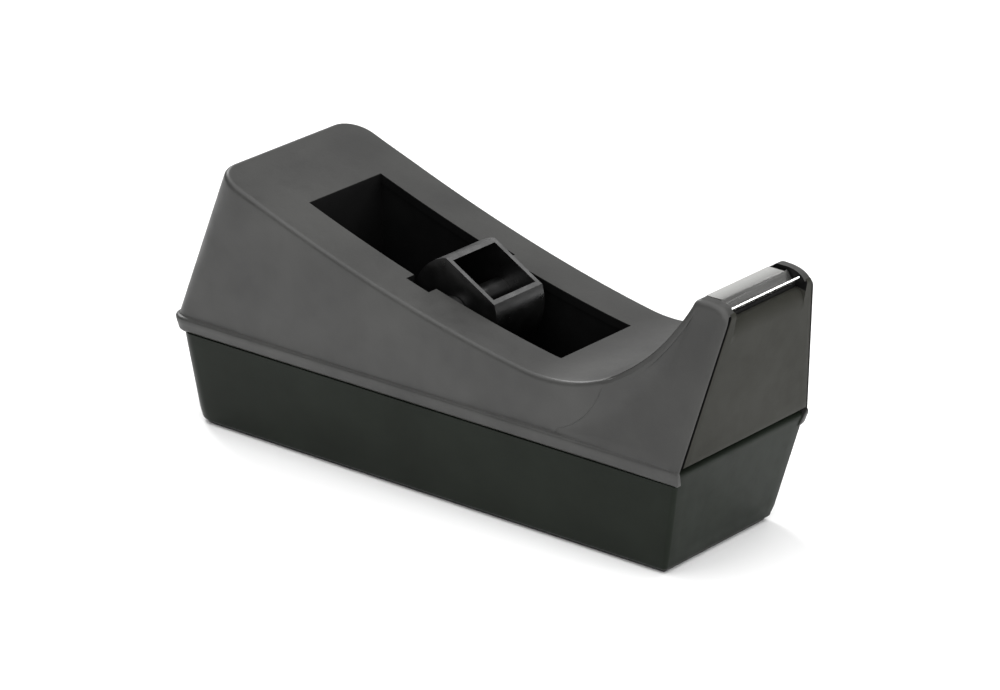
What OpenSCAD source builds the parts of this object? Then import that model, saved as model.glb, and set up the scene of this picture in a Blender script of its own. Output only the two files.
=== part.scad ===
// Desk tape dispenser for 19 mm tape on a 25.4 mm core.
// X runs from the rear to the cutter, Z is up, and the origin is under the middle of the pad.

/* [Overall] */
// Length from the rear of the flange to the front of the cheeks
overall_l = 157.1; // [156.5:0.1:158]
// Height of the highest edge, at the rear of the deck
overall_h = 66.6; // [66:0.1:67]
// Wall thickness of the moulded shells
wall = 2; // [1.6:0.1:2.2]

/* [Flange] */
// Length of the flange along the base
flange_l = 150; // [149.5:0.1:150.5]
// Flange width at the rear
flange_rear_w = 51.9; // [51.5:0.1:52.5]
// Flange width at the front
flange_front_w = 47.6; // [47.4:0.1:48]
// Height of the flange's lower face
flange_z = 23.9; // [23.5:0.1:24.5]
// Height of the flange band
flange_h = 4; // [3.5:0.1:4.2]
// How far the flange stands out from the walls
flange_out = 1.03; // [0.8:0.01:1.2]
// Radius of the flange's rear corners
flange_r = 4.7; // [4:0.1:6]

/* [Deck] */
// Distance of the deck's rear edge from the rear of the flange
deck_rear_x = 14.5; // [14:0.1:15]
// Slope of the deck at its rear edge, in degrees
deck_rear_slope = 20.9; // [20:0.1:22]
// Where the deck runs into the arm's curve
arm_start_x = 106; // [105:0.1:107]
// Radius of the arm's concave curve
arm_r = 38; // [37.5:0.1:38.5]
// Distance of that curve's centre from the rear of the flange
arm_centre_x = 112; // [111.5:0.1:112.5]
// Height of that curve's centre
arm_centre_z = 78.3; // [78:0.1:78.5]
// Distance that the rear wall leans forward between flange and deck
rear_lean = 13.5; // [13:0.1:14]

/* [Arm and cheeks] */
// Lean of the front face, forward per unit of height
front_lean = 0.187; // [0.18:0.001:0.19]
// Half-width of the arm at its front bottom corner, before rounding
arm_half_w = 24.2; // [24:0.1:24.4]
// Narrowing of the arm per unit of height
arm_taper_z = 0.2269; // [0.222:0.0001:0.228]
// Narrowing of the arm per unit of length
arm_taper_x = 0.1026; // [0.1:0.0001:0.105]
// Height of the cheeks beside the cutter
cheek_top = 65.7; // [65.6:0.1:66]
// Inner half-width between the cheeks
cheek_gap_half = 12.65; // [12.6:0.01:12.8]
// Thickness of the front panel
panel_t = 2.2; // [1.8:0.1:2.4]
// Half-width of the front panel at the flange's top
panel_half_w = 23.4; // [23.2:0.05:23.45]
// Narrowing of the front panel per unit of height
panel_taper = 0.2315; // [0.229:0.0005:0.233]
// Width of the line between the front panel and the arm
panel_gap = 0.15; // [0.1:0.01:0.2]

/* [Tape well] */
// Rear edge of the opening in the deck
well_rear_x = 33.4; // [33:0.1:34]
// Front edge of the opening in the deck
well_front_x = 108.3; // [108:0.1:109]
// Half-width of the opening
well_half_w = 12.65; // [12.5:0.01:12.8]
// Thickness of the liner's walls
liner_t = 2.4; // [2.3:0.1:2.6]

/* [Hub] */
// Outer radius of the drum, for a core of 12.7 mm inner radius
hub_r = 12.4; // [12:0.1:12.5]
// Half-width of the drum
hub_half_w = 8.55; // [8:0.05:8.6]
// Distance of the drum's middle from the centre plane
hub_shift = -0.75; // [-0.8:0.05:0]
// Distance of the drum's open flats from its centre
hub_flat = 9.4; // [9.2:0.1:9.8]
// Lean of the upper flat towards the cutter, in degrees
hub_turn = 29; // [0:1:45]
// Distance of the axle from the rear of the flange
axle_x = 74.5; // [74:0.1:75]
// Height of the axle
axle_z = 42.3; // [42:0.1:42.5]
// Radius of the axle
axle_r = 1.75; // [1.7:0.01:1.8]
// Half-length of the axle
axle_half_l = 14.7; // [14.5:0.1:14.8]
// Lean of the axle's slots to the rear, in degrees from upright
slot_lean = 44; // [42:1:46]

/* [Cutter] */
// Half-width of the blade
blade_half_w = 12.3; // [12:0.1:12.4]
// Thickness of the blade
blade_t = 0.6; // [0.5:0.1:0.7]
// Number of teeth
blade_teeth = 20; // [16:1:24]

/* [Base] */
// Thickness of the pad
pad_t = 0.9; // [0.8:0.1:1.2]
// Radius of the tray's lower rear corners
tray_corner_r = 5.9; // [5:0.1:7]
// Distances of the two pairs of housing screws from the rear of the flange
screw_xs = [42, 86];
// Screws' distance from the centre plane
screw_y = 17.85; // [17.85:0.01:17.9]

/* [Hidden] */

$fn = 64;
big = 200;
side_taper = (flange_rear_w - flange_front_w) / 2 / flange_l;
rear_half_w = flange_rear_w / 2 - flange_out;
flange_top = flange_z + flange_h;
rear_wall_x = deck_rear_x - rear_lean;
rear_lean_angle = atan(rear_lean / (overall_h - flange_top));
front_angle = atan(front_lean);
front_x = flange_l + 0.2;
corner_steps = 10;

// The walls run straight from the flare to the arm's front, just inside the flange.
flare_x = 115;
flare_half_w = 23.72;
panel_low_z = flange_top + 0.3;
panel_high_z = 62;

// The deck is a cubic curve between two ends with given slopes; it meets the arm's arc smoothly.
arm_start_angle = -asin((arm_centre_x - arm_start_x) / arm_r);
arm_start_z = arm_centre_z - arm_r * cos(arm_start_angle);
deck_steps = 24;
arc_steps = 20;

// Tray outline: at each level it has a rear and a front line with its own half-width.
tray_floor_t = 2;
tray_low_rear = [3.3, 21.9];
tray_low_front = [143.89, 19.85];
tray_top_rear = [2.6, 25.4];
tray_top_front = [149.1, 23.3];
tray_front_lip_z = 27.5;
tray_lip_half_w = 22.4;
tray_floor_z = pad_t + tray_floor_t;
pad_inset = 1.2;

// Axle slot, screws and ballast
slot_r = axle_r + 0.1;
slot_half_l = 15;
notch_w = 4.8;
bore_r = axle_r + 0.1;
hub_side_t = 1.1;
hub_rim_t = 0.75;
hub_tube_r = 3.2;
collar_r = 3.6;
collar_half_l = well_half_w - 0.35;
screw_r = 1;
pilot_r = 1.05;
shank_clear_r = 1.2;
screw_head_r = 1.5;
screw_head_h = 1.5;
head_clear_r = 1.6;
boss_r = 2.4;
ballast_boss_r = 3.6;
screw_grip_z = 3.6;
screw_tip_z = 36;
ballast_top_z = 24;
ballast_half_w = 17;
ballast_screw_z = 3;
rear_ballast_x = [6.5, 30.5];
front_ballast_x = [111.5, 141];
blade_rear_x = 147.5;
blade_fold_x = 151.9;
blade_lip_x = 155.4;
blade_top_z = 65.1;
blade_drop = 2.1;
blade_shoulder = 1.1;
recess_z = 57.7;
recess_depth = 2.8;

function deck_z(x) =
    let (l = arm_start_x - deck_rear_x, t = (x - deck_rear_x) / l,
         z0 = overall_h, z3 = arm_start_z,
         z1 = z0 - tan(deck_rear_slope) * l / 3,
         z2 = z3 - tan(arm_start_angle) * l / 3)
    pow(1 - t, 3) * z0 + 3 * pow(1 - t, 2) * t * z1 + 3 * (1 - t) * t * t * z2 + t * t * t * z3;

function deck_points(drop, from_x) =
    [for (i = [0:deck_steps])
        let (x = from_x + (arm_start_x - from_x) * i / deck_steps)
        [x, deck_z(x) - drop]];

function arc_points(r, to_z) =
    let (end = acos((arm_centre_z - to_z) / r))
    [for (i = [1:arc_steps])
        let (a = arm_start_angle + (end - arm_start_angle) * i / arc_steps)
        [arm_centre_x + r * sin(a), arm_centre_z - r * cos(a)]];

function front_at(z) = front_x + front_lean * (z - flange_top);

function panel_half_at(z) = panel_half_w - panel_taper * (z - flange_top);

// The same points in reverse order on the other side of the centre plane.
function mirrored(half) = [for (i = [len(half) - 1:-1:0]) [half[i][0], -half[i][1]]];

// Moves a shape from the rear of the flange to the row's own origin.
module placed() {
    translate([-overall_l / 2, 0, 0]) children();
}

// Extrudes a profile drawn in X and Z across the width.
module across(half_w) {
    translate([0, half_w, 0]) rotate([90, 0, 0]) linear_extrude(2 * half_w) children();
}

// Symmetric plan outline with rounded rear corners; each end is [x, half-width].
module plan(rear, front, r) {
    turn = atan((rear[1] - front[1]) / (front[0] - rear[0]));
    corner = [rear[0] + r, rear[1] - r * tan(turn) - r / cos(turn)];
    arc = [for (i = [0:corner_steps]) let (a = 90 - turn + (90 + turn) * i / corner_steps)
           corner + r * [cos(a), sin(a)]];
    half = concat([front], arc);
    polygon(concat(half, mirrored(half)));
}

// Plan of the housing walls, moved in by an inset; they stop tapering where the arm flares.
module wall_plan(inset) {
    half = [[rear_wall_x - 2 + inset, rear_half_w - inset],
            [flare_x, rear_half_w - side_taper * flare_x - inset],
            [flange_l, flare_half_w - inset], [flange_l + 20, flare_half_w - inset]];
    polygon(concat(half, mirrored(half)));
}

module outer_profile() {
    polygon(concat(
        [[rear_wall_x, flange_z], [rear_wall_x, flange_top]],
        deck_points(0, deck_rear_x),
        arc_points(arm_r, cheek_top - 0.6),
        [[148.2, cheek_top], [153.2, cheek_top - 0.1], [155.4, 64.9], [156.7, 63.3], [overall_l, 61]],
        [[front_at(flange_top) + 0.2, flange_top], [front_at(flange_top), flange_z]]));
}

// Profile of the hollow inside the housing, down to a given level.
module inner_profile(low_z) {
    lean_wall = wall / cos(rear_lean_angle);
    polygon(concat(
        [[rear_wall_x + lean_wall, low_z], [rear_wall_x + lean_wall, flange_top]],
        [[deck_rear_x + lean_wall, deck_z(deck_rear_x + lean_wall) - wall - 0.2]],
        deck_points(wall, deck_rear_x + 2 * wall),
        arc_points(arm_r + wall, recess_z - 1),
        [[front_at(recess_z) + 5, recess_z - 1], [front_at(flange_z) + 5, low_z]]));
}

// Everything outside the two leaning side planes of the arm.
module arm_planes(inset) {
    for (side = [-1, 1])
        translate([front_x, side * (arm_half_w - inset), flange_top])
            rotate([0, 0, -side * atan(arm_taper_x)])
                rotate([side * atan(arm_taper_z * cos(atan(arm_taper_x))), 0, 0])
                    translate([-big / 2, side > 0 ? 0 : -big, -big / 2]) cube(big);
}

// Slanted prism along the axle's way out, as wide as w, starting at the axle.
module slot_way(w, half_l) {
    translate([axle_x, 0, axle_z]) rotate([0, -slot_lean, 0])
        translate([-w / 2, -half_l, 0]) cube([w, 2 * half_l, 40]);
}

// Leaning slab with the panel's outline, grown sideways and forward.
module front_panel_shape(grow, ahead) {
    low = [panel_half_at(panel_low_z) + grow, (panel_low_z - grow - flange_top) / cos(front_angle)];
    high = [panel_half_at(panel_high_z) + grow, (panel_high_z + grow - flange_top) / cos(front_angle)];
    translate([front_x, 0, flange_top]) rotate([0, front_angle, 0]) rotate([90, 0, -90])
        translate([0, 0, -ahead]) linear_extrude(panel_t + ahead)
            polygon([[-low[0], low[1]], [-high[0], high[1]], high, low]);
}

module housing_blank() {
    difference() {
        intersection() {
            across(big / 4) outer_profile();
            linear_extrude(big) wall_plan(0);
            translate([rear_wall_x - 0.02, 0, flange_top]) rotate([0, rear_lean_angle, 0])
                translate([0, 0, -20]) linear_extrude(big)
                    plan([0, rear_half_w + 0.2], [big, rear_half_w - 2], 6);
        }
        arm_planes(0);
    }
    translate([0, 0, flange_z]) linear_extrude(flange_h)
        plan([0, flange_rear_w / 2], [flange_l, flange_front_w / 2], flange_r);
}

module upper_housing() {
    color("dimgray") placed() {
        difference() {
            housing_blank();
            // hollow inside
            difference() {
                intersection() {
                    across(big / 4) inner_profile(flange_z - 1);
                    linear_extrude(big) wall_plan(wall);
                }
                arm_planes(wall);
            }
            // lower edge open for the tray, which closes the front
            translate([0, 0, flange_z - 1]) linear_extrude(flange_h + 1)
                plan([rear_wall_x + wall, rear_half_w - wall], [flange_l + 9, tray_lip_half_w + 0.1], 3);
            // seat for the front panel
            front_panel_shape(panel_gap, 5);
            // opening over the tape well, and the notches where the axle drops in
            translate([well_rear_x, -well_half_w, 20])
                cube([well_front_x - well_rear_x, 2 * well_half_w, big]);
            slot_way(notch_w, slot_half_l);
            // seat for the blade and the recess under its lip
            translate([blade_rear_x - 0.1, -cheek_gap_half, blade_top_z - blade_t])
                cube([30, 2 * cheek_gap_half, 10]);
            translate([blade_fold_x - blade_t, -cheek_gap_half, blade_top_z - blade_drop])
                cube([30, 2 * cheek_gap_half, 10]);
            translate([front_at(recess_z) - recess_depth, -cheek_gap_half, recess_z])
                rotate([0, front_angle, 0]) cube([30, 2 * cheek_gap_half, 10]);
        }
        for (x = screw_xs) for (side = [-1, 1]) housing_boss(x, side);
    }
}

// Post that a housing screw bites into, hanging from the deck.
module housing_boss(x, side) {
    intersection() {
        difference() {
            translate([x, side * screw_y, flange_z]) cylinder(r = boss_r, h = 60);
            translate([x, side * screw_y, 0]) cylinder(r = pilot_r, h = screw_tip_z + 1);
        }
        across(rear_half_w - 1.5) outer_profile();
    }
}

module front_panel() {
    color("dimgray") placed() difference() {
        front_panel_shape(0, 0);
        translate([front_at(recess_z) - recess_depth - 1, -cheek_gap_half - 0.1, recess_z - 0.1])
            rotate([0, front_angle, 0]) cube([30, 2 * cheek_gap_half + 0.2, 20]);
    }
}

// Solid between the tray's lower and upper outlines, moved in by an inset.
module tray_solid(inset, floor_z, above) {
    shift = [inset, -inset];
    hull() {
        translate([0, 0, floor_z]) linear_extrude(0.01)
            plan(tray_low_rear + shift, tray_low_front - [inset, inset], tray_corner_r - inset, $fn = 32);
        translate([0, 0, flange_z - 0.01]) linear_extrude(0.01 + above)
            plan(tray_top_rear + shift, tray_top_front - [inset, inset], flange_r - inset, $fn = 32);
    }
}

module base_tray() {
    lean = (tray_top_front[0] - tray_low_front[0]) / (flange_z - pad_t);
    color([0.16, 0.17, 0.16]) placed() difference() {
        union() {
            difference() {
                tray_solid(0, pad_t, 0);
                tray_solid(wall, tray_floor_z, 1);
            }
            // the front wall rises past the flange to close the housing's lower edge
            across(tray_lip_half_w) polygon([
                [tray_top_front[0] - wall, flange_z - 1], [tray_top_front[0], flange_z],
                [tray_top_front[0] + lean * (tray_front_lip_z - flange_z), tray_front_lip_z],
                [tray_top_front[0] - wall + 0.8, tray_front_lip_z]]);
            for (x = screw_xs) for (side = [-1, 1])
                intersection() {
                    translate([x, side * screw_y, pad_t]) cylinder(r = boss_r, h = flange_z - pad_t);
                    tray_solid(0, pad_t, 0);
                }
            for (span = [rear_ballast_x, front_ballast_x])
                translate([(span[0] + span[1]) / 2, 0, pad_t]) 
                    cylinder(r = ballast_boss_r, h = tray_floor_t + ballast_screw_z);
        }
        for (x = screw_xs) for (side = [-1, 1]) translate([x, side * screw_y, 0]) {
            cylinder(r = shank_clear_r, h = flange_z + 1);
            cylinder(r = head_clear_r, h = pad_t + screw_grip_z);
        }
        for (span = [rear_ballast_x, front_ballast_x])
            translate([(span[0] + span[1]) / 2, 0, tray_floor_z - 1]) cylinder(r = pilot_r, h = 20);
    }
}

module tape_well() {
    color([0.08, 0.08, 0.08]) placed() difference() {
        intersection() {
            translate([well_rear_x - liner_t, -well_half_w - 0.35 - liner_t, tray_floor_z])
                cube([well_front_x - well_rear_x + 2 * liner_t, 2 * (well_half_w + 0.35 + liner_t), 60]);
            across(20) inner_profile(0);
        }
        translate([well_rear_x, -well_half_w - 0.35, tray_floor_z + wall])
            cube([well_front_x - well_rear_x, 2 * (well_half_w + 0.35), 60]);
        slot_way(2 * slot_r, slot_half_l);
        translate([axle_x, slot_half_l, axle_z]) rotate([90, 0, 0]) cylinder(r = slot_r, h = 2 * slot_half_l);
    }
}

// Block with a rounded top front and rear edge, held down by one screw.
module ballast(span) {
    r = 3;
    mid = (span[0] + span[1]) / 2;
    length = span[1] - span[0];
    height = ballast_top_z - tray_floor_z;
    difference() {
        across(ballast_half_w) {
            translate([span[0], tray_floor_z]) square([length, height - r]);
            translate([span[0] + r, tray_floor_z]) square([length - 2 * r, height]);
            for (x = [span[0] + r, span[1] - r]) translate([x, ballast_top_z - r]) circle(r);
        }
        translate([mid, 0, tray_floor_z - 1]) cylinder(r = ballast_boss_r + 0.2, h = ballast_screw_z + 1.2);
        translate([mid, 0, 0]) cylinder(r = shank_clear_r, h = big);
        translate([mid, 0, ballast_top_z - screw_head_h - 0.5]) cylinder(r = screw_head_r + 1.2, h = 10);
    }
}

module rear_ballast() {
    color("slategray") placed() ballast(rear_ballast_x);
}

module front_ballast() {
    color("slategray") placed() ballast(front_ballast_x);
}

// Pan-head screw with its head's seat at z = 0 and its shank along -Z.
module screw(length) {
    difference() {
        union() {
            translate([0, 0, -length]) cylinder(r = screw_r, h = length + 0.1);
            cylinder(r = screw_head_r, h = screw_head_h);
        }
        for (a = [0, 90]) rotate([0, 0, a])
            translate([-0.3, -screw_head_r * 0.6, screw_head_h - 0.9]) cube([0.6, screw_head_r * 1.2, 2]);
    }
}

module ballast_screws() {
    seat_z = ballast_top_z - screw_head_h - 0.5;
    color("silver") placed()
        for (span = [rear_ballast_x, front_ballast_x])
            translate([(span[0] + span[1]) / 2, 0, seat_z]) screw(seat_z - tray_floor_z);
}

module housing_screws() {
    seat_z = pad_t + screw_grip_z;
    color("silver") placed()
        for (x = screw_xs) for (side = [-1, 1])
            translate([x, side * screw_y, seat_z]) rotate([180, 0, 0])
                screw(screw_tip_z - seat_z - 2);
}

module base_pad() {
    shift = [pad_inset, -pad_inset];
    color([0.1, 0.1, 0.1]) placed() linear_extrude(pad_t)
        plan(tray_low_rear + shift, tray_low_front - [pad_inset, pad_inset], tray_corner_r - pad_inset);
}

// Pin with a collar on each side of the drum that keeps it in its place along the pin.
module hub_axle() {
    color([0.1, 0.1, 0.1]) placed() translate([axle_x, 0, axle_z]) rotate([-90, 0, 0]) {
        cylinder(r = axle_r, h = 2 * axle_half_l, center = true);
        for (side = [-1, 1]) {
            inner = hub_half_w + side * hub_shift + 0.2;
            translate([0, 0, side * (inner + collar_half_l) / 2])
                cylinder(r = collar_r, h = collar_half_l - inner, center = true);
        }
    }
}

// Drum that carries the tape's core: two side discs and two rims, open at both flats.
module hub_drum() {
    color([0.1, 0.1, 0.1]) placed()
        translate([axle_x, hub_shift, axle_z]) rotate([0, hub_turn, 0]) rotate([90, 0, 0]) difference() {
            union() {
                intersection() {
                    difference() {
                        cylinder(r = hub_r, h = 2 * hub_half_w, center = true);
                        cylinder(r = hub_r - hub_rim_t, h = 2 * (hub_half_w - hub_side_t), center = true);
                    }
                    cube([big, 2 * hub_flat, big], center = true);
                }
                cylinder(r = hub_tube_r, h = 2 * hub_half_w - 1, center = true);
            }
            cylinder(r = bore_r, h = big, center = true);
        }
}

// Folded steel strip: a flat plate, a slope and a wider lip with pointed teeth.
module cutter_blade() {
    pitch = 2 * blade_half_w / blade_teeth;
    tooth_depth = 0.8;
    color("silver") placed() difference() {
        across(blade_half_w) polygon([[blade_rear_x, blade_top_z], [blade_fold_x, blade_top_z],
            [blade_lip_x - 0.9, blade_top_z - 1.3], [blade_lip_x + 0.2, blade_top_z - 0.5],
            [blade_lip_x + 0.4, blade_top_z - 0.9], [blade_lip_x - 0.7, blade_top_z - 1.9],
            [blade_fold_x, blade_top_z - blade_t], [blade_rear_x, blade_top_z - blade_t]]);
        for (side = [-1, 1])
            translate([blade_rear_x - 1, side * (blade_half_w - blade_shoulder + 5) - 5, blade_top_z - 5])
                cube([blade_fold_x + 2 - blade_rear_x, 10, 10]);
        for (i = [0:blade_teeth])
            translate([blade_lip_x + 0.5, -blade_half_w + i * pitch, blade_top_z - 3])
                linear_extrude(5) polygon([[0, -pitch / 2], [0, pitch / 2], [-tooth_depth, 0]]);
    }
}

upper_housing();
front_panel();
base_tray();
tape_well();
rear_ballast();
front_ballast();
ballast_screws();
housing_screws();
base_pad();
hub_axle();
hub_drum();
cutter_blade();
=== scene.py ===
"""Looks of the desk tape dispenser: moulded shells as smooth lofted meshes around the CAD frame."""

import math

import bmesh
import bpy
from mathutils import Matrix, Vector


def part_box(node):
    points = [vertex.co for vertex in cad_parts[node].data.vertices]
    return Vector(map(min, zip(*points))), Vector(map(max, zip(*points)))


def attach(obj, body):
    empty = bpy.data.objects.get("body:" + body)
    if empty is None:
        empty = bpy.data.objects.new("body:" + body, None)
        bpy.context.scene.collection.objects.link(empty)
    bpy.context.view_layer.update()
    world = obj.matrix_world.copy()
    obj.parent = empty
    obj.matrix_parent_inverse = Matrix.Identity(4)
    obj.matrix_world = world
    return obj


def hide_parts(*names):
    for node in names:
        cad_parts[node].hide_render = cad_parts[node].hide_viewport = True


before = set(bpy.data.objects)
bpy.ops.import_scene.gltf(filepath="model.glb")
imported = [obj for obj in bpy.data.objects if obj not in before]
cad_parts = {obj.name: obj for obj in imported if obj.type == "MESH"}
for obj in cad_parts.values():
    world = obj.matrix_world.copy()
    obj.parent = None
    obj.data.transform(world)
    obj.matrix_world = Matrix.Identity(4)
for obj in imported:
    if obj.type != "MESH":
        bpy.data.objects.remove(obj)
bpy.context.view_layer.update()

# All shape sizes below are in millimetres, with x measured from the rear of the flange.
MM = 0.001
housing_low, housing_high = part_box("upper_housing")
REAR_X = housing_low[0] / MM
DECK_TOP = housing_high[2] / MM
PAD_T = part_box("base_pad")[1][2] / MM

# Flange band and walls
FLANGE_LOW = housing_low[2] / MM
FLANGE_TOP = FLANGE_LOW + 4.0
BAND_END = 150.5
FLANGE_HALF = 25.95
SIDE_TAPER = 0.01433
BAND_OUT = 1.03
BAND_CORNER = 4.7

# Deck and arm
DECK_REAR_X = 14.5
DECK_SLOPE = math.tan(math.radians(20.9))
ARM_START_X = 106.0
ARM_CENTRE = (112.0, 78.3)
ARM_R = 38.0
CHEEK_TOP = 65.68
REAR_WALL_X = 1.0
TOP_CORNER = 7.0
LOW_CORNER = 3.7
CREASE_CENTRE = (110.0, 45.0)
CREASE_R = 16.9
GAP_HALF = 12.65

# Opening over the well, and the notches where the axle drops in
WELL_X = (33.4, 108.3)
NOTCH_X = (65.2, 71.9)
NOTCH_HALF = 15.4
DECK_T = 2.2

# Front panel
PANEL_LOW, PANEL_HIGH, RECESS_Z = 28.25, 63.6, 60.9
PANEL_GAP, LIP, LIP_DEPTH = 0.7, 3.9, 2.6
PANEL_T = 2.8
PANEL_SHIFT = 0.4

# Cutting strip
BLADE_HALF, TEETH = 12.3, 20

# Drum edges and foam pad
HUB_EDGE = 0.3
PAD_INSET, PAD_FILL = 1.25, 0.9

# Mesh density: rows up a wall, steps round a fillet and round the cheek's nose, stations along a cheek
ROWS = 36
FILLET_STEPS = 6
NOSE_STEPS = 14
CHEEK_STATIONS = 14
NEAR = 1e-3


# ---------------------------------------------------------------- small helpers

def lerp(a, b, t):
    return a + (b - a) * t


def clamp01(t):
    return max(0.0, min(1.0, t))


def smooth(t):
    t = clamp01(t)
    return t * t * (3 - 2 * t)


def spread(a, b, count):
    """count + 1 evenly spaced values from a to b."""
    return [lerp(a, b, i / count) for i in range(count + 1)]


def conic(p0, control, p2, weight, t):
    """Point on a rational quadratic curve; weight cos(half the turn) makes a round fillet."""
    a, b, c = (1 - t) ** 2, 2 * weight * t * (1 - t), t * t
    return (p0 * a + control * b + p2 * c) / (a + b + c)


def quads(rows):
    """Faces between neighbouring rows of points."""
    out = []
    for upper, lower in zip(rows, rows[1:]):
        for i in range(len(upper) - 1):
            out.append((upper[i], upper[i + 1], lower[i + 1], lower[i]))
    return out


def mesh_object(name, faces, dark=(), sharp=32.0, weld=0.004):
    """Welds faces given as points in millimetres into one object, mirrored about the centre plane.

    The dark faces, down inside the gaps, take the piece's second material, a black that is painted shade."""
    bm = bmesh.new()
    for index, group in enumerate((faces, dark)):
        for face in group:
            for side in (1, -1):
                points = [Vector(((p[0] + REAR_X) * MM, p[1] * side * MM, p[2] * MM)) for p in face]
                if side < 0:
                    points.reverse()
                bm.faces.new([bm.verts.new(p) for p in points]).material_index = index
    bmesh.ops.remove_doubles(bm, verts=bm.verts, dist=weld * MM)
    bmesh.ops.dissolve_degenerate(bm, edges=bm.edges, dist=0.5 * weld * MM)
    bmesh.ops.recalc_face_normals(bm, faces=bm.faces)
    mesh = bpy.data.meshes.new(name)
    bm.to_mesh(mesh)
    bm.free()
    mesh.shade_smooth()
    mesh.set_sharp_from_angle(angle=math.radians(sharp))
    obj = bpy.data.objects.new(name, mesh)
    bpy.context.collection.objects.link(obj)
    return obj


def bevel(obj, width, segments=3, angle=30.0):
    mod = obj.modifiers.new("edges", "BEVEL")
    mod.width = width * MM
    mod.segments = segments
    mod.limit_method = "ANGLE"
    mod.angle_limit = math.radians(angle)
    mod.harden_normals = True
    return mod


# ---------------------------------------------------------------- housing shape

def wall_half(x):
    return FLANGE_HALF - BAND_OUT - SIDE_TAPER * x


def flange_half(x):
    return FLANGE_HALF - SIDE_TAPER * x


def arm_start():
    angle = -math.asin((ARM_CENTRE[0] - ARM_START_X) / ARM_R)
    return angle, ARM_CENTRE[1] - ARM_R * math.cos(angle)


def deck_z(x):
    """Cubic curve from the rear edge to the arm, with a given slope at each end."""
    angle, z3 = arm_start()
    length = ARM_START_X - DECK_REAR_X
    t = (x - DECK_REAR_X) / length
    z1 = DECK_TOP - DECK_SLOPE * length / 3
    z2 = z3 - math.tan(angle) * length / 3
    s = 1 - t
    return s ** 3 * DECK_TOP + 3 * s * s * t * z1 + 3 * s * t * t * z2 + t ** 3 * z3


def arm_point(angle):
    return ARM_CENTRE[0] + ARM_R * math.sin(angle), ARM_CENTRE[1] - ARM_R * math.cos(angle)


def top_z(x):
    """Height of the deck or, further forward, of the arm."""
    if x <= ARM_START_X:
        return deck_z(x)
    return ARM_CENTRE[1] - math.sqrt(ARM_R ** 2 - (x - ARM_CENTRE[0]) ** 2)


def arm_plane(x, z):
    """Half-width of the arm's leaning side."""
    return 24.2 - 0.1026 * (x - 150.3) - 0.2269 * (z - 28.0)


def gap_half(z):
    """Half-width of the front panel's opening at a height."""
    return 23.4 - 0.2315 * (z - 27.9)


def arm_front_half(x, z):
    """Half-width of the arm beside its front edge, just outside the panel's gap."""
    beside = gap_half(z) + lerp(0.22, 0.32, (z - 28.0) / 34.0) - 0.1026 * (x - 150.27 - 0.1895 * (z - 28.0))
    return lerp(beside, arm_plane(x, z), smooth((z - 62.0) / 2.5))


def crease_x(z):
    return CREASE_CENTRE[0] + math.sqrt(max(0.0, CREASE_R ** 2 - (z - CREASE_CENTRE[1]) ** 2))


def bulge(x, z, v):
    """How far the side panel swells outward between its rear line and the arm's crease."""
    t = (x - DECK_REAR_X) / (crease_x(z) - DECK_REAR_X)
    if t <= 0 or t >= 1:
        return 0.0
    return 4 * t * (1 - t) * (0.3 + 0.25 * (1 - (2 * v - 1) ** 2))


def side_outline():
    """Sharp edge of the side in x and z, from the front's foot over the cheek to the deck.

    Returns the front stations, the stations back to the crease, and the stations behind it."""
    foot, shoulder = Vector((150.27, 28.0)), Vector((156.58, 61.3))
    control, top = Vector((157.45, CHEEK_TOP)), Vector((151.0, CHEEK_TOP))
    half_turn = [conic(shoulder, control, top, 0.8, i / NOSE_STEPS) for i in range(NOSE_STEPS + 1)]
    count = ROWS - 7
    front = [foot.lerp(shoulder, i / count) for i in range(count)] + half_turn[:8]
    end = math.acos((ARM_CENTRE[1] - 64.6) / ARM_R)
    arc_end = Vector(arm_point(end))
    cheek = half_turn[7:] + [conic(top, top, Vector((149.2, CHEEK_TOP)), 1, 0.6)]
    corner = [conic(Vector((149.2, CHEEK_TOP)), Vector((147.85, CHEEK_TOP)), arc_end, 0.75, i / 6)
              for i in range(7)]
    crease = math.asin((127.4 - ARM_CENTRE[0]) / ARM_R)
    over = cheek + corner + [Vector(arm_point(a)) for a in spread(end, crease, 34)][1:]
    breaks = ((127.4, WELL_X[1], 20), (WELL_X[1], NOTCH_X[1], 20), (NOTCH_X[1], NOTCH_X[0], 4),
              (NOTCH_X[0], WELL_X[0], 18), (WELL_X[0], DECK_REAR_X + TOP_CORNER, 8))
    behind = [over[-1]]
    for a, b, count in breaks:
        behind += [Vector((x, top_z(x))) for x in spread(a, b, count)][1:]
    return front, over, behind


def outward(points, i):
    a, b = points[max(0, i - 1)], points[min(len(points) - 1, i + 1)]
    t = (b - a).normalized()
    return Vector((t.y, -t.x))


def edge_radii(x, z, front):
    """Rounding of the side's edge, down the side and across the top: shallow beside the panel."""
    cheek = smooth((x - 145.0) / 4.0)
    r = 1.15 + 0.1 * cheek
    if not front:
        r += 0.3 * smooth((34.0 - x) / 12.0)
        return r, r
    top = smooth((z - 62.0) / 2.5)
    return lerp(2.7, r, top), lerp(arm_front_half(x, z) - gap_half(z), r, top)


def fillet(p0, control, p2, weight=0.707):
    return [conic(p0, control, p2, weight, i / FILLET_STEPS) for i in range(FILLET_STEPS + 1)]


def coons(left, right, bottom, top, u, v, i, j):
    ruled = bottom[i].lerp(top[i], v) + left[j].lerp(right[j], u)
    corners = (left[0].lerp(right[0], u)).lerp(left[-1].lerp(right[-1], u), v)
    return ruled - corners


def station(x, z, n, half, front):
    """Start, control and end of the edge fillet, given the side's half-width function."""
    r, across = edge_radii(x, z, front)
    inner = (x - n.x * r, z - n.y * r)
    return (Vector((inner[0], -half(*inner), inner[1])),
            Vector((x, -half(x, z), z)),
            Vector((x, -half(x, z) + across, z)))


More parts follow.
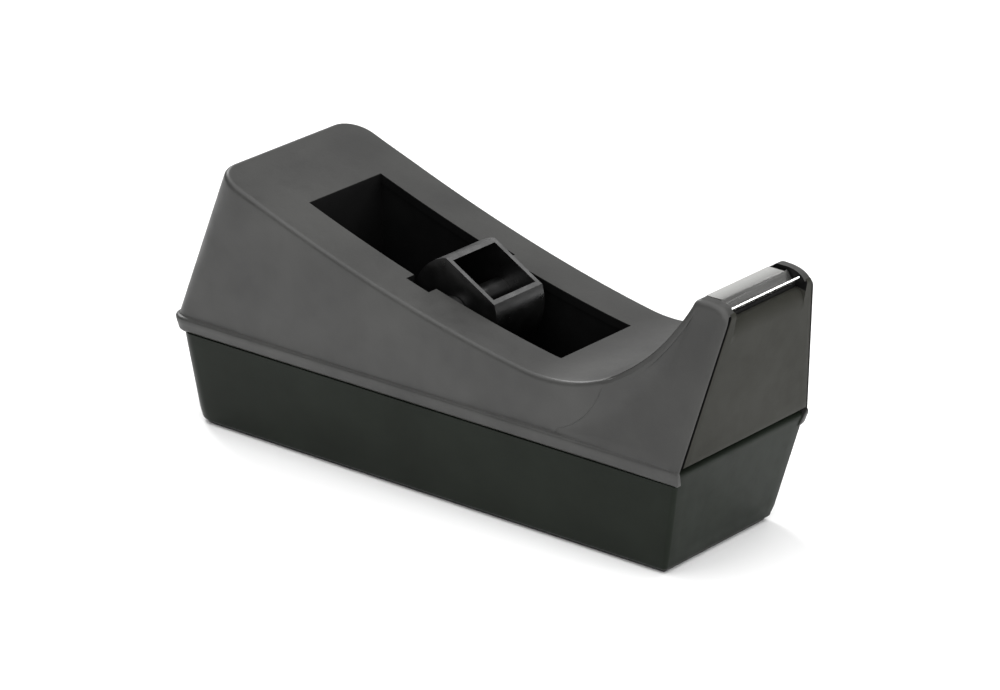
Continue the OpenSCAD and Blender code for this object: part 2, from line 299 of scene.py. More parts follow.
def scored(arc, control, amount):
    """Edge with a fine line cut into it instead of a plain rounding."""
    p0, p2 = arc[0], arc[-1]
    side, top = control.lerp(p0, 0.22), control.lerp(p2, 0.22)
    into = ((p0 + p2) / 2 - control).normalized() * 0.4
    cut = [p0, p0.lerp(side, 0.8), side, side.lerp(top, 0.5) + into, top, top.lerp(p2, 0.2), p2]
    return [a.lerp(b, amount) for a, b in zip(arc, cut)]


def housing_faces():
    """Faces of the housing, and those down inside its gaps, which take black as painted shade."""
    faces, dark = [], []
    front, over, behind = side_outline()
    outline = front[:-1] + over + behind[1:]
    n_front, n_over = len(front) - 1, len(over) - 1

    def half_of(i):
        if i <= n_front:
            return arm_front_half
        if i < n_front + n_over:
            return lambda x, z: min(arm_plane(x, z), wall_half(x) + 0.02)
        return lambda x, z: wall_half(x) + bulge(x, z, 1.0)

    fillets = []
    for i, p in enumerate(outline):
        points = station(p.x, p.y, outward(outline, i), half_of(i), i <= n_front)
        arc = fillet(*points)
        up = (i - n_front - 15) / (n_over - 15)
        fillets.append(scored(arc, points[1], smooth(4 * up) * smooth(4 * (1 - up))))
    starts = [f[0] for f in fillets]

    # arm side: between the crease, the front edge, the flange and the arm's curve
    crease_i = n_front + n_over
    right = starts[:n_front + 1]
    top = starts[n_front:crease_i + 1][::-1]
    angles = spread(math.atan2(starts[crease_i].z - CREASE_CENTRE[1], starts[crease_i].x - CREASE_CENTRE[0]),
                    -math.acos(5.2 / CREASE_R), ROWS)
    left = []
    for a in reversed(angles):
        x, z = CREASE_CENTRE[0] + CREASE_R * math.cos(a), CREASE_CENTRE[1] + CREASE_R * math.sin(a)
        left.append(Vector((x, -wall_half(x), z)))
    shift = starts[crease_i] - left[-1]
    left = [p + shift * (j / ROWS) ** 2 for j, p in enumerate(left)]
    left[0].z = FLANGE_TOP + 0.02
    right[0] = Vector((right[0].x, right[0].y, FLANGE_TOP + 0.02))
    fillets[0][0] = right[0]
    count = len(top) - 1
    us = [(i / count) ** 1.25 for i in range(count + 1)]
    bottom = [left[0].lerp(right[0], u) for u in us]
    arm = []
    for i, u in enumerate(us):
        column = []
        for j in range(ROWS + 1):
            p = coons(left, right, bottom, top, u, j / ROWS, i, j)
            column.append(p)
        arm.append(column)
    step_columns(arm, faces)
    faces += quads(arm)

    # main side panel
    rear_line = [Vector((lerp(REAR_WALL_X + LOW_CORNER, starts[-1].x, j / ROWS), 0,
                         lerp(FLANGE_TOP + 0.02, starts[-1].z, j / ROWS))) for j in range(ROWS + 1)]
    top = starts[crease_i:][::-1]
    count = len(top) - 1
    flat_left = [Vector((p.x, 0, p.z)) for p in left]
    flat_top = [Vector((p.x, 0, p.z)) for p in top]
    reach = [(p.x - flat_top[0].x) / (flat_top[-1].x - flat_top[0].x) for p in flat_top]
    base = [rear_line[0].lerp(flat_left[0], u) for u in reach]
    panel = []
    for i, u in enumerate(reach):
        column = []
        for j in range(ROWS + 1):
            p = coons(rear_line, flat_left, base, flat_top, u, j / ROWS, i, j)
            y = wall_half(p.x) + bulge(p.x, p.z, j / ROWS)
            column.append(Vector((p.x, -y, p.z)))
        column[-1] = top[i]
        panel.append(column)
    panel[-1] = left
    faces += quads(panel)

    # rear corner and rear wall
    rear_columns, rear_fillets = rear_parts()
    faces += quads([panel[0]] + rear_columns)
    fillets += rear_fillets
    faces += quads(fillets)

    faces += deck_faces(outline, fillets, n_front, dark)
    columns = arm[::-1] + panel[:-1][::-1] + rear_columns
    faces += band_faces([Vector((BAND_END, p.y, p.z)) if p.x > BAND_END else p for p in fillets[0][::-1]]
                        + [c[0] for c in columns[1:]])
    return faces, dark


def step_columns(arm, faces):
    """Sinks the arm's side a little just ahead of the crease, most at the top."""
    depth = 0.34
    for i, column in enumerate(arm[1:], start=1):
        for j, p in enumerate(column):
            near = arm[0][j]
            distance = math.hypot(p.x - near.x, p.z - near.z)
            fade = 1 - clamp01(distance / 16.0)
            v = j / ROWS
            sink = depth * fade * (0.25 + 0.75 * v) * (1 if j < ROWS else 0.35)
            column[j] = Vector((p.x, p.y + sink, p.z))
    lip = []
    for j, near in enumerate(arm[0]):
        toward = (arm[1][j] - near)
        flat = Vector((toward.x, 0, toward.z))
        reach = min(0.45, flat.length * 0.8)
        spot = near + (flat.normalized() * reach if flat.length else flat)
        lip.append(Vector((spot.x, lerp(near.y, arm[1][j].y, 0.9), spot.z)))
    mid = [a.lerp(b, 0.3) + Vector((0, -0.035, 0)) for a, b in zip(arm[0], lip)]
    faces += quads([arm[0], mid, lip, arm[1]])
    del arm[0]


def rear_parts():
    """Columns down the rounded corner and the leaning rear wall, with their edge fillets."""
    columns, fillets = [], []
    top_centre = Vector((DECK_REAR_X + TOP_CORNER, -(wall_half(DECK_REAR_X + TOP_CORNER) - TOP_CORNER)))
    low_centre = Vector((REAR_WALL_X + LOW_CORNER, -(wall_half(REAR_WALL_X + LOW_CORNER) - LOW_CORNER)))
    spots = []
    for k in range(1, 11):
        a = math.radians(9 * k)
        out = Vector((-math.sin(a), -math.cos(a)))
        spots.append((top_centre + out * TOP_CORNER, low_centre + out * LOW_CORNER, -out))
    lines = rear_lines(-top_centre.y)
    for y in lines[1:]:
        low_y = -y * low_centre.y / top_centre.y
        spots.append((Vector((DECK_REAR_X, -y)), Vector((REAR_WALL_X, low_y)), Vector((1, 0))))
    for top, low, inward in spots:
        edge = Vector((top.x, top.y, deck_z(top.x)))
        foot = Vector((low.x, low.y, FLANGE_TOP + 0.02))
        down = (foot - edge).normalized()
        slope = (deck_z(top.x + inward.x) - deck_z(top.x)) if inward.x else 0.0
        along = Vector((inward.x, inward.y, slope)).normalized()
        r = 1.4
        arc = fillet(edge + down * r, edge, edge + along * r, 0.78)
        fillets.append(arc)
        columns.append([foot.lerp(arc[0], j / ROWS) for j in range(ROWS + 1)])
    return columns, fillets


def rear_lines(outer):
    """Half-widths of the deck's lines, from its outer edge to the centre plane."""
    third = GAP_HALF + min(NOTCH_HALF - GAP_HALF, 0.32 * (outer - GAP_HALF))
    return [outer, lerp(outer, third, 1 / 3), lerp(outer, third, 2 / 3), third,
            GAP_HALF, 9.5, 6.3, 3.2, 0.0]


def deck_faces(outline, fillets, n_front, dark):
    """Deck, arm and cheek tops between the edge fillets and the opening or centre plane."""
    faces = []
    core = Vector((151.3, 60.0))
    side_count = len(outline)
    outer_rows, inner_rows = [], []
    for i in range(side_count + 10):
        end = fillets[i][-1]
        x, z = end.x, end.z
        lines = rear_lines(-end.y)
        if i < n_front and z < PANEL_HIGH:
            normal = outward(outline, i)
            into = Vector((normal.x, 0, normal.y))
            outer_rows.append(("front", [end, end - into * 1.1, end - into * 2.2]))
            if outline[i + 1].y < PANEL_HIGH:
                continue
        row = [Vector((x, -y, z)) for y in lines[:5]]
        outer_rows.append(("top", row))
        here = Vector((x, z))
        if i <= n_front + CHEEK_STATIONS:
            inner = [Vector((lerp(here.x, core.x, t), -GAP_HALF, lerp(here.y, core.y, t)))
                     for t in (0, 0.25, 0.6)]
            inner_rows.append(("cheek", inner))
        elif i < side_count and WELL_X[0] - NEAR <= x <= WELL_X[1] + NEAR:
            inner_rows.append(("well", [Vector((x, -GAP_HALF, z)), Vector((x, -GAP_HALF, z - DECK_T))]))
            if abs(x - WELL_X[0]) < NEAR or abs(x - WELL_X[1]) < NEAR:
                across = [Vector((x, -y, z)) for y in lines[4:]]
                faces += quads([across, [p - Vector((0, 0, DECK_T)) for p in across]])
                inner_rows.append(("deck", across))
                if abs(x - WELL_X[1]) < NEAR:
                    inner_rows[-2], inner_rows[-1] = inner_rows[-1], inner_rows[-2]
        else:
            inner_rows.append(("deck", [Vector((x, -y, z)) for y in lines[4:]]))
    for (kind, a), (other, b) in zip(outer_rows, outer_rows[1:]):
        if kind != other:
            continue
        if kind == "front":
            faces += quads([a[:2], b[:2]])
            # the faces running back into the gap beside the panel are black as painted shade
            dark += quads([a[1:], b[1:]])
            continue
        in_notch = all(NOTCH_X[0] - NEAR <= r[0].x <= NOTCH_X[1] + NEAR for r in (a, b))
        faces += quads([a[:4], b[:4]] if in_notch else [a, b])
        if in_notch:
            faces += quads([[a[3], b[3]], [a[3] - Vector((0, 0, DECK_T)), b[3] - Vector((0, 0, DECK_T))]])
    for kind, row in outer_rows:
        if kind == "top" and min(abs(row[0].x - x) for x in NOTCH_X) < NEAR:
            faces += quads([row[3:5], [p - Vector((0, 0, DECK_T)) for p in row[3:5]]])
    for (kind, a), (other, b) in zip(inner_rows, inner_rows[1:]):
        if kind != other:
            continue
        if kind == "well" and all(NOTCH_X[0] - NEAR <= r[0].x <= NOTCH_X[1] + NEAR for r in (a, b)):
            continue
        # the cheeks' inner faces beside the blade recess are black as painted shade
        (dark if kind == "cheek" else faces).extend(quads([a, b]))
    # the arm's middle runs on to the blade
    last = next(row for kind, row in inner_rows if kind == "deck")
    end = math.acos((ARM_CENTRE[1] - 65.02) / ARM_R)
    begin = math.acos((ARM_CENTRE[1] - last[0].z) / ARM_R)
    strip = [last]
    for a in spread(begin, end, 4)[1:]:
        x, z = arm_point(a)
        strip.append([Vector((x, p.y, z)) for p in last])
    strip.append([p + Vector((0.1, 0, -0.7)) for p in strip[-1]])
    faces += quads(strip)
    return faces


def band_faces(feet):
    """Flange band below the walls: ledge, rounded outer face and underside."""
    rows = []
    for p in feet:
        x = p.x
        if x > REAR_WALL_X + LOW_CORNER + NEAR:
            out = Vector((0, -1))
            edge = Vector((x, -flange_half(x) - 0.2 * smooth((x - 125.0) / 25.0)))
        else:
            centre = Vector((REAR_WALL_X + LOW_CORNER, -(wall_half(REAR_WALL_X + LOW_CORNER) - LOW_CORNER)))
            if p.y < centre.y:
                out = (Vector((p.x, p.y)) - centre).normalized()
            else:
                out = Vector((-1, 0))
            edge = Vector((p.x, p.y)) + out * (BAND_OUT if out.x == -1 else
                                               lerp(BAND_OUT, 1.0, abs(out.x)))
            if out.x == -1:
                edge = Vector((0.0, p.y))
        foot = Vector((x, p.y))
        reach = (edge - foot).length
        top, low = FLANGE_TOP, FLANGE_LOW
        r = min(0.8, reach * 0.8)

        def at(inset, z):
            q = edge - out * inset
            return Vector((q.x - 0.27 * (FLANGE_TOP - z) * smooth((x - 145.0) / 5.0), q.y, z))

        row = [Vector((x, p.y, p.z)), Vector((foot.x + out.x * 0.12, foot.y + out.y * 0.12, top - 0.06))]
        row += [at(r, top - 0.12)]
        for k in range(1, 5):
            a = math.radians(90 - 22.5 * k)
            row.append(at(r - r * math.cos(a), top - 0.87 + 0.75 * math.sin(a)))
        row += [at(0.22, lerp(top, low, 0.45)), at(0.55, low + 1.1)]
        row += [at(1.3 - 0.75 * math.cos(math.radians(a)), low + 1.1 - 1.1 * math.sin(math.radians(a)))
                for a in (22.5, 45, 67.5, 90)]
        row.append(at(2.4, low))
        rows.append(row)
    faces = quads(rows)
    # rounded front tip of the band
    tip = rows[0][1:]
    middle = sum(tip, Vector()) / len(tip)
    small = [p.lerp(middle, 0.25) + Vector((0.25, 0, 0)) for p in tip]
    faces += quads([tip + tip[:1], small + small[:1]])
    faces += quads([[row[1], row[-1]] for row in rows[:12]])
    faces.append(tuple(small))
    return faces


def opening_faces():
    """Thin black sheet over the cut edge round the opening and its notches: painted shade, so the edge reads
    dark.
    """
    inset, drop = 0.03, 0.12
    spans = ((WELL_X[0], NOTCH_X[0], 12), (NOTCH_X[0], NOTCH_X[1], 4), (NOTCH_X[1], WELL_X[1], 12))
    stations = [x for a, b, count in spans for x in spread(a, b, count)]
    edge = [(WELL_X[0] + inset, 0.0)]
    for x in stations:
        half = NOTCH_HALF if NOTCH_X[0] < x < NOTCH_X[1] else GAP_HALF
        edge.append((x, half - inset))
    edge.append((WELL_X[1] - inset, 0.0))
    edge[1] = (WELL_X[0] + inset, GAP_HALF - inset)
    edge[-2] = (WELL_X[1] - inset, GAP_HALF - inset)
    lined = []
    for (x0, y0), (x1, y1) in zip(edge, edge[1:]):
        lined.append((x0, y0))
        if y1 > y0 + 1 and y0 > 1:
            lined.append((NOTCH_X[0] + inset, GAP_HALF - inset))
            lined.append((NOTCH_X[0] + inset, NOTCH_HALF - inset))
        elif y0 > y1 + 1 and y1 > 1:
            lined.append((NOTCH_X[1] - inset, NOTCH_HALF - inset))
            lined.append((NOTCH_X[1] - inset, GAP_HALF - inset))
    lined.append(edge[-1])
    top = [Vector((x, -y, top_z(x) - drop)) for x, y in lined]
    return quads([top, [p - Vector((0, 0, DECK_T)) for p in top]])


def seat_faces():
    """Block between the cheeks that carries the blade; its face closes the recess below the lip and is black
    as painted shade under the lip.
    """
    half = GAP_HALF - 0.01
    profile = [(147.4, 64.0), (147.6, 64.5), (151.3, 64.5), (151.4, 62.5), (153.7, 62.5), (153.9, 62.3),
               (152.75, 56.0), (147.4, 56.0)]
    ring = [[Vector((x, y, z)) for x, z in profile] for y in (-half, 0.0)]
    return quads([list(r) + [r[0]] for r in ring]) + [tuple(ring[0])]


def blade_faces():
    """Cutting strip: a plate, a steep fold ahead of it, and a lip with saw teeth along its edge."""
    plate = [(147.5, 64.5), (147.5, 65.1), (151.6, 65.1), (151.85, 65.04), (151.5, 64.5)]
    fold = [(151.5, 64.5), (151.85, 65.04), (152.05, 64.9), (153.15, 63.3), (153.4, 63.12), (153.75, 63.2)]
    lip = [(155.55, 64.62), (155.72, 64.38)]
    under = [(154.1, 62.75), (153.2, 62.6), (151.5, 64.5)]
    strip = []
    for k in range(TEETH + 1):
        cut = 0.0 if k % 2 else 0.8
        profile = fold + [(x - 0.78 * cut, z - 0.62 * cut) for x, z in lip] + under
        strip.append([Vector((x, -BLADE_HALF * k / TEETH, z)) for x, z in profile])
    ends = [[Vector((x, -y, z)) for x, z in plate + plate[:1]] for y in (0.0, BLADE_HALF - 1.1)]
    return quads(strip) + quads(ends) + [tuple(strip[-1][:-1]), tuple(ends[-1][:-1])]


# ---------------------------------------------------------------- front panel

def panel_point(y, z, depth=0.0):
    """Point on the front panel; depth goes inward, at right angles to its face."""
    lean = math.atan(0.187)
    return Vector((150.2 + 0.187 * (z - 27.9) - depth * math.cos(lean), y, z + depth * math.sin(lean)))


def panel_faces():
    """Half of the panel, with the strip beside the recess, and its faces inside the gap, which take black as
    painted shade.
    """
    faces, dark = [], []
    edge, fine = 0.32, 0.14
    low_z = [PANEL_LOW + edge * (1 - math.cos(math.radians(a))) for a in (0, 30, 60, 90)]
    low_d = [edge * (1 - math.sin(math.radians(a))) for a in (0, 30, 60, 90)]
    levels = list(zip(low_z, low_d)) + [(z, 0.0) for z in spread(PANEL_LOW + edge, RECESS_Z - LIP, 26)[1:]]
    lip = [(RECESS_Z - LIP * (1 - math.sin(math.radians(a))), LIP_DEPTH * (1 - math.cos(math.radians(a))))
           for a in spread(0, 90, 9)[1:]]
    rows = []
    for z, d in [(PANEL_LOW, PANEL_T)] + levels + lip:
        outer = gap_half(z) - PANEL_GAP
        in_lip = z > RECESS_Z - LIP
        sides = [outer, outer] + [outer - fine * (1 - math.cos(math.radians(a))) for a in (30, 60, 90)]
        depths = [PANEL_T, fine] + [fine * (1 - math.sin(math.radians(a))) for a in (30, 60, 90)]
        row = [panel_point(-y, z, max(d if not in_lip else 0.0, e)) for y, e in zip(sides, depths)]
        beside = 0.0 if in_lip else d
        row += [panel_point(-lerp(sides[-1], GAP_HALF + 0.15, k / 4), z, beside) for k in range(1, 5)]
        row += [panel_point(-lerp(GAP_HALF + 0.1, 0, k / 9), z, d) for k in range(10)]
        rows.append(row)
    # the panel's side walls and bottom edge, down in the gaps, are black as painted shade
    dark += quads([row[:3] for row in rows]) + quads(rows[:2])
    faces += quads([row[2:] for row in rows[1:]])
    # strip beside the recess, up to the cheek
    strip = []
    for z in spread(RECESS_Z, PANEL_HIGH - 1.0, 6) + spread(PANEL_HIGH - 1.0, PANEL_HIGH, 5)[1:]:
        outer = gap_half(z) - PANEL_GAP
        back = 1.0 - math.sqrt(1.0 - max(0.0, z - PANEL_HIGH + 1.0) ** 2)
        row = [panel_point(-outer, z, PANEL_T), panel_point(-outer, z, fine + back)]
        row += [panel_point(-(outer - fine * (1 - math.cos(math.radians(a)))), z,
                            back + fine * (1 - math.sin(math.radians(a)))) for a in (30, 60, 90)]
        row += [panel_point(-lerp(outer - fine, GAP_HALF + 0.15, k / 4), z, back) for k in range(1, 5)]
        row += [panel_point(-(GAP_HALF + 0.15), z, PANEL_T)]
        strip.append(row)
    # the strip's outer side and its inner wall beside the recess are black as painted shade
    dark += quads([row[:3] for row in strip]) + quads([row[-2:] for row in strip])
    faces += quads([row[2:-1] for row in strip])
    faces.append(tuple(strip[-1]))
    return faces, dark


# ---------------------------------------------------------------- base tray

TRAY_LOW = {"rear": 3.3, "front": 143.89, "rear_half": 21.9, "front_half": 19.85, "r": 5.9}
TRAY_TOP = {"rear": 2.6, "front": 149.1, "rear_half": 25.4, "front_half": 23.3, "r": 4.4}
TRAY_LIP_Z = 27.45


def tray_ring(v, inset=0.0, z=None):
    """Half of the tray's outline at a level v from bottom (0) to flange (1), front to rear."""
    s = {k: lerp(TRAY_LOW[k], TRAY_TOP[k], v) for k in TRAY_LOW}
    height = lerp(PAD_T, FLANGE_LOW, v) if z is None else z
    taper = (s["rear_half"] - s["front_half"]) / (s["front"] - s["rear"])
    turn = math.atan(taper)
    front_r = max(0.4, 1.1 - inset)
    centre = Vector((s["front"] - inset - front_r, -(s["front_half"] - inset - front_r)))
    points = [Vector((s["front"] - inset, -y, height)) for y in spread(0.0, -centre.y, 8)]
    for k in range(1, 6):
        a = math.radians(18 * k)
        points.append(Vector((centre.x + front_r * math.cos(a), centre.y - front_r * math.sin(a), height)))
    r = s["r"]
    centre = Vector((s["rear"] + r, -(s["rear_half"] - r - r * math.tan(turn))))
    start = points[-1]
    end = Vector((centre.x + (r - inset) * math.sin(turn), centre.y - (r - inset) * math.cos(turn), height))
    points += [start.lerp(end, k / 40) for k in range(1, 40)]
    for k in range(13):
        a = lerp(-math.pi / 2 + turn, -math.pi, k / 12)
        x, y = centre.x + (r - inset) * math.cos(a), centre.y + (r - inset) * math.sin(a)
        points.append(Vector((x, y, height)))
    rear = points[-1]
    points += [Vector((rear.x, lerp(rear.y, 0, k / 6), height)) for k in range(1, 7)]
    return points


def tray_faces():
    edge = 1.0
    rings = [tray_ring(0, 3.0, PAD_T)]
    for a in (0, 22.5, 45, 67.5, 90):
        t = math.radians(a)
        rings.append(tray_ring(0, edge * (1 - math.sin(t)), PAD_T + edge * (1 - math.cos(t))))
    rings += [tray_ring(v) for v in spread(edge / (FLANGE_LOW - PAD_T), 1.0, 12)[1:]]
    faces = quads(rings[1:])
    faces += quads([rings[0], rings[1]])
    faces.append(tuple(rings[0]))
    # inward flange under the housing
    faces += quads([rings[-1], tray_ring(1.0, 1.8, FLANGE_LOW)])
    # front lip: the front wall runs up past the flange and ends in a rounded edge
    lean = (TRAY_TOP["front"] - TRAY_LOW["front"]) / (FLANGE_LOW - PAD_T)
    r = 1.3

    def lip_profile(scale):
        top_x = TRAY_TOP["front"] + lean * (TRAY_LIP_Z - FLANGE_LOW)
        out = [(TRAY_TOP["front"], FLANGE_LOW)]
        rise = (0.8, 1.6, TRAY_LIP_Z - r - FLANGE_LOW)
        out += [(TRAY_TOP["front"] + lean * dz, FLANGE_LOW + dz) for dz in rise]
        for k in range(1, 7):
            a = math.radians(15 * k)
            out.append((top_x - lean * r - r + r * math.cos(a), TRAY_LIP_Z - r + r * math.sin(a)))
        out += [(top_x - 2.6, TRAY_LIP_Z), (top_x - 2.6, FLANGE_LOW)]
        mid = (TRAY_TOP["front"] - 1.2, FLANGE_LOW + 1.5)
        return [(lerp(mid[0], x, scale), lerp(mid[1], z, scale)) for x, z in out]

    rows = []
    lip_half = TRAY_TOP["front_half"] - 0.35
    for y in spread(0.0, lip_half - 0.9, 10):
        rows.append([Vector((x, -y, z)) for x, z in lip_profile(1.0)])
    for k in range(1, 5):
        a = math.radians(22.5 * k)
        y = lip_half - 0.9 + 0.9 * math.sin(a)
        scale = 1.0 - 0.28 * (1 - math.cos(a))
        rows.append([Vector((x, -y, max(z, FLANGE_LOW - 0.2))) for x, z in lip_profile(scale)])
    faces += quads(rows)
    faces.append(tuple(rows[-1]))
    return faces


def pad_faces():
    """Foam pad: its edge swells between the tray above and the table below."""
    inset, swell = PAD_INSET, 0.45
    rings = []
    for k in range(9):
        a = math.radians(-90 + 22.5 * k)
        rings.append(tray_ring(0, inset + swell * (1 - math.cos(a)), PAD_T * (0.5 + 0.497 * math.sin(a))))
    return quads(rings) + [tuple(rings[0]), tuple(rings[-1])]


# ---------------------------------------------------------------- materials

def material(name, base, rough, metallic=0.0):
    mat = bpy.data.materials.new(name)
    mat.use_nodes = True
    tree = mat.node_tree
    shader = tree.nodes["Principled BSDF"]
    shader.inputs["Base Color"].default_value = (*base, 1)
    shader.inputs["Roughness"].default_value = rough
    shader.inputs["Metallic"].default_value = metallic
    return mat, tree, shader


def object_noise(tree, scale, detail=4.0, stretch=None):
    coords = tree.nodes.new("ShaderNodeTexCoord")
    out = coords.outputs["Object"]
    if stretch:
        mapping = tree.nodes.new("ShaderNodeMapping")
        mapping.inputs["Scale"].default_value = stretch
        tree.links.new(out, mapping.inputs["Vector"])
        out = mapping.outputs["Vector"]
    noise = tree.nodes.new("ShaderNodeTexNoise")
    noise.inputs["Scale"].default_value = scale
    noise.inputs["Detail"].default_value = detail
    tree.links.new(out, noise.inputs["Vector"])
    return noise.outputs["Fac"]


def ramp(tree, source, low, high):
    node = tree.nodes.new("ShaderNodeMapRange")
    node.inputs["From Min"].default_value = 0.3
    node.inputs["From Max"].default_value = 0.7
    node.inputs["To Min"].default_value = low
    node.inputs["To Max"].default_value = high
    tree.links.new(source, node.inputs["Value"])
    return node.outputs["Result"]


def tint(tree, source, dark, light):
    node = tree.nodes.new("ShaderNodeMix")
    node.data_type = "RGBA"
    node.inputs["A"].default_value = (*dark, 1)
    node.inputs["B"].default_value = (*light, 1)
    tree.links.new(source, node.inputs["Factor"])
    return node.outputs["Result"]


def add_bump(tree, shader, source, strength, distance):
    bump = tree.nodes.new("ShaderNodeBump")
    bump.inputs["Strength"].default_value = strength
    bump.inputs["Distance"].default_value = distance * MM
    tree.links.new(source, bump.inputs["Height"])
    tree.links.new(bump.outputs["Normal"], shader.inputs["Normal"])
    return bump


def moulded_plastic(name, dark, light, rough, grain, strength, shine=0.5):
    """Moulded plastic: soft tone variation, uneven gloss and a fine grain."""
    mat, tree, shader = material(name, light, rough)
    shader.inputs["Specular IOR Level"].default_value = shine
    cloud = object_noise(tree, 45.0, 6.0)
    colour = tint(tree, ramp(tree, cloud, 0.0, 1.0), dark, light)
    tree.links.new(colour, shader.inputs["Base Color"])
    patch = object_noise(tree, 260.0, 3.0)
    tree.links.new(ramp(tree, patch, rough - 0.05, rough + 0.06), shader.inputs["Roughness"])
    add_bump(tree, shader, object_noise(tree, grain, 3.0), strength, 0.05)
    return mat


def brushed_steel(name):
    mat, tree, shader = material(name, (0.85, 0.85, 0.83), 0.28, 1.0)
    streak = object_noise(tree, 3200.0, 4.0, (1.0, 0.02, 1.0))
    colour = tint(tree, ramp(tree, streak, 0.0, 1.0), (0.80, 0.80, 0.78), (0.88, 0.88, 0.86))
    tree.links.new(colour, shader.inputs["Base Color"])
    tree.links.new(ramp(tree, streak, 0.20, 0.28), shader.inputs["Roughness"])
    add_bump(tree, shader, streak, 0.08, 0.01)
    return mat


def cast_iron(name):
    mat, tree, shader = material(name, (0.16, 0.16, 0.17), 0.6, 0.8)
    lumps = object_noise(tree, 700.0, 6.0)
    tree.links.new(tint(tree, lumps, (0.10, 0.10, 0.10), (0.24, 0.23, 0.22)), shader.inputs["Base Color"])
    add_bump(tree, shader, lumps, 0.5, 0.15)
    return mat


def foam(name):
    mat, tree, shader = material(name, (0.02, 0.02, 0.02), 0.9)
    cells = tree.nodes.new("ShaderNodeTexVoronoi")
    cells.inputs["Scale"].default_value = 2200.0
    coords = tree.nodes.new("ShaderNodeTexCoord")
    tree.links.new(coords.outputs["Object"], cells.inputs["Vector"])
    tree.links.new(tint(tree, cells.outputs["Distance"], (0.012, 0.012, 0.012), (0.035, 0.035, 0.035)),
                   shader.inputs["Base Color"])
    add_bump(tree, shader, cells.outputs["Distance"], 0.6, 0.1)
    return mat


def dress(node, mat):
    """Gives a CAD node a finished material in place of its plain one."""
    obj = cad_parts[node]
    for slot in obj.material_slots:
        slot.material = mat


# ---------------------------------------------------------------- stage, lights, camera

def area_light(name, place, target, size, power):
    data = bpy.data.lights.new(name, "AREA")
    data.shape = "RECTANGLE"
    data.size, data.size_y = size
    data.energy = power
    obj = bpy.data.objects.new(name, data)
    obj.location = place
    obj.rotation_mode = "QUATERNION"
    obj.rotation_quaternion = (Vector(target) - Vector(place)).to_track_quat("-Z", "Y")
    bpy.context.collection.objects.link(obj)
    return obj


def make_stage():
    bm = bmesh.new()
    bmesh.ops.create_grid(bm, x_segments=2, y_segments=2, size=3.0)
    mesh = bpy.data.meshes.new("floor")
    bm.to_mesh(mesh)
    bm.free()
    floor = bpy.data.objects.new("floor", mesh)
    bpy.context.collection.objects.link(floor)
    mat, _, shader = material("floor_paper", (0.97, 0.97, 0.97), 0.9)
    shader.inputs["Specular IOR Level"].default_value = 0.1
    floor.data.materials.append(mat)


def make_lights():
    world = bpy.data.worlds.new("studio")
    world.use_nodes = True
    world.node_tree.nodes["Background"].inputs["Color"].default_value = (1, 1, 1, 1)
    world.node_tree.nodes["Background"].inputs["Strength"].default_value = 0.12
    bpy.context.scene.world = world
    bpy.context.scene.view_settings.view_transform = "Standard"
    area_light("top", (0.15, -0.28, 1.3), (0, 0, 0.0), (2.2, 1.9), 34.0)
    area_light("key", (-1.05, 0.50, 0.80), (0, 0, 0.04), (0.4, 0.4), 9.0)
    area_light("left", (0.42, -0.62, 0.26), (0, 0, 0.03), (0.4, 0.3), 1.9)
    area_light("right", (1.30, 0.20, 0.20), (0, 0, 0.03), (0.9, 0.5), 9.0)
    area_light("back", (-1.12, 1.36, 0.70), (0, 0, 0.05), (1.6, 0.6), 2.0)
    area_light("glint", (-0.1, 1.15, 1.10), (0, 0, 0.05), (0.5, 0.4), 1.6)


def make_camera():
    azimuth, elevation, distance = math.radians(39.62), math.radians(22.21), 1.13498
    target = Vector(((80.14 + REAR_X) * MM, 0.0, 32.37 * MM))
    back = Vector((math.sin(azimuth) * math.cos(elevation), -math.cos(azimuth) * math.cos(elevation),
                   math.sin(elevation)))
    right = Vector((math.cos(azimuth), math.sin(azimuth), 0.0))
    up = back.cross(right)
    data = bpy.data.cameras.new("camera")
    data.sensor_width, data.lens = 36.0, 178.48
    data.clip_start, data.clip_end = 0.05, 20.0
    camera = bpy.data.objects.new("camera", data)
    turned = Matrix((right, up, back)).transposed().to_4x4()
    camera.matrix_world = Matrix.Translation(target + back * distance) @ turned
    bpy.context.collection.objects.link(camera)
    bpy.context.scene.camera = camera


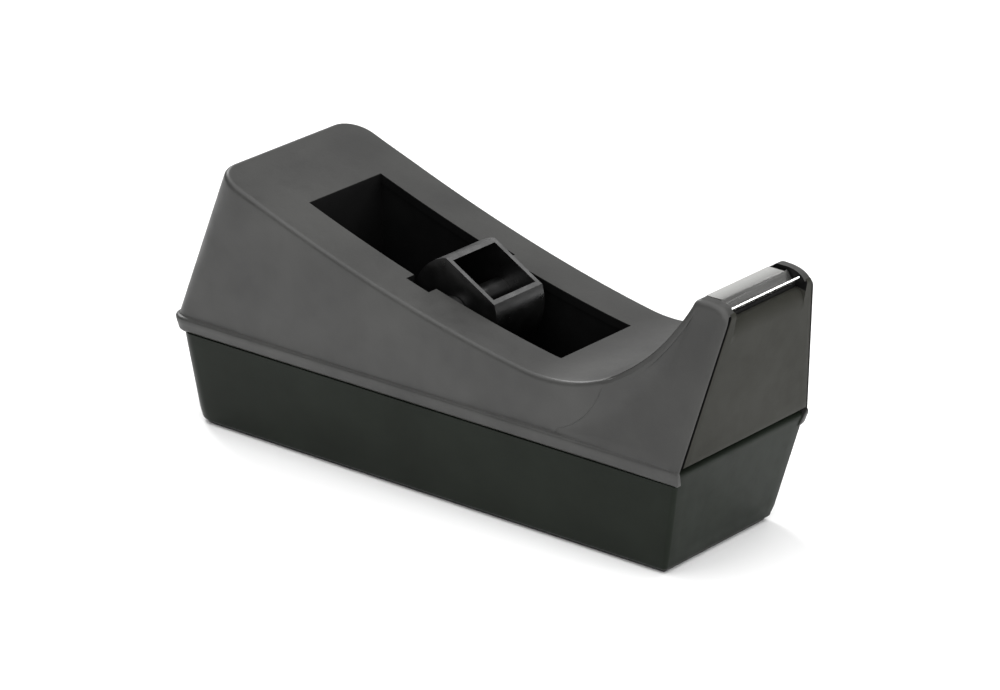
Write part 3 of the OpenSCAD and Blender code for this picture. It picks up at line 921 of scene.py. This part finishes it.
# ---------------------------------------------------------------- assembly

def build():
    housing_mat = moulded_plastic("housing_plastic", (0.030, 0.030, 0.029), (0.044, 0.044, 0.042),
                                  0.44, 1500.0, 0.35, 0.35)
    panel_mat = moulded_plastic("panel_plastic", (0.020, 0.020, 0.0165), (0.030, 0.030, 0.026),
                                0.42, 1700.0, 0.2, 0.05)
    tray_mat = moulded_plastic("tray_plastic", (0.006, 0.008, 0.0055), (0.010, 0.013, 0.0095),
                               0.34, 1200.0, 0.12, 0.08)
    # near-black: the tape well's own colour, and painted shade on the gap faces, the blade seat and the
    # opening's cut edge
    black_mat = moulded_plastic("well_black_and_painted_shade", (0.002, 0.002, 0.002), (0.004, 0.004, 0.004),
                                0.6, 1500.0, 0.3, 0.1)
    hub_mat = moulded_plastic("hub_plastic", (0.0012, 0.0012, 0.0012), (0.0025, 0.0025, 0.0025),
                              0.32, 1500.0, 0.2, 1.0)
    steel, iron, pad_mat = brushed_steel("strip_steel"), cast_iron("cast_iron"), foam("pad_foam")

    for name, (faces, dark), mat, node, slot in (
            ("housing_shell", housing_faces(), housing_mat, "upper_housing", "housing"),
            ("nose_panel", panel_faces(), panel_mat, "front_panel", "panel"),
            ("tray_shell", (tray_faces(), ()), tray_mat, "base_tray", "tray"),
            ("foam_pad", (pad_faces(), ()), pad_mat, "base_pad", "pad"),
            ("toothed_strip", (blade_faces(), ()), steel, "cutter_blade", "blade"),
            # the blade seat is a black block of painted shade in the recess under the lip
            ("blade_seat", (seat_faces(), ()), black_mat, None, "panel"),
            # the opening's cut edge gets a black sheet of painted shade
            ("opening_edge_painted_shade", (opening_faces(), ()), black_mat, None, "liner")):
        piece = mesh_object(name, faces, dark)
        piece.data.materials.append(mat)
        # second material: black as painted shade for the faces down in the gaps
        if dark:
            piece.data.materials.append(black_mat)
        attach(piece, "base")
        if node:
            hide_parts(node)
        if name == "nose_panel":
            piece.location.y = PANEL_SHIFT * MM

    dress("tape_well", black_mat)
    dress("hub_drum", hub_mat)
    bevel(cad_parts["hub_drum"], HUB_EDGE)
    dress("hub_axle", hub_mat)
    dress("housing_screws", steel)
    dress("ballast_screws", steel)
    dress("rear_ballast", iron)
    dress("front_ballast", iron)


build()
make_stage()
make_lights()
make_camera()
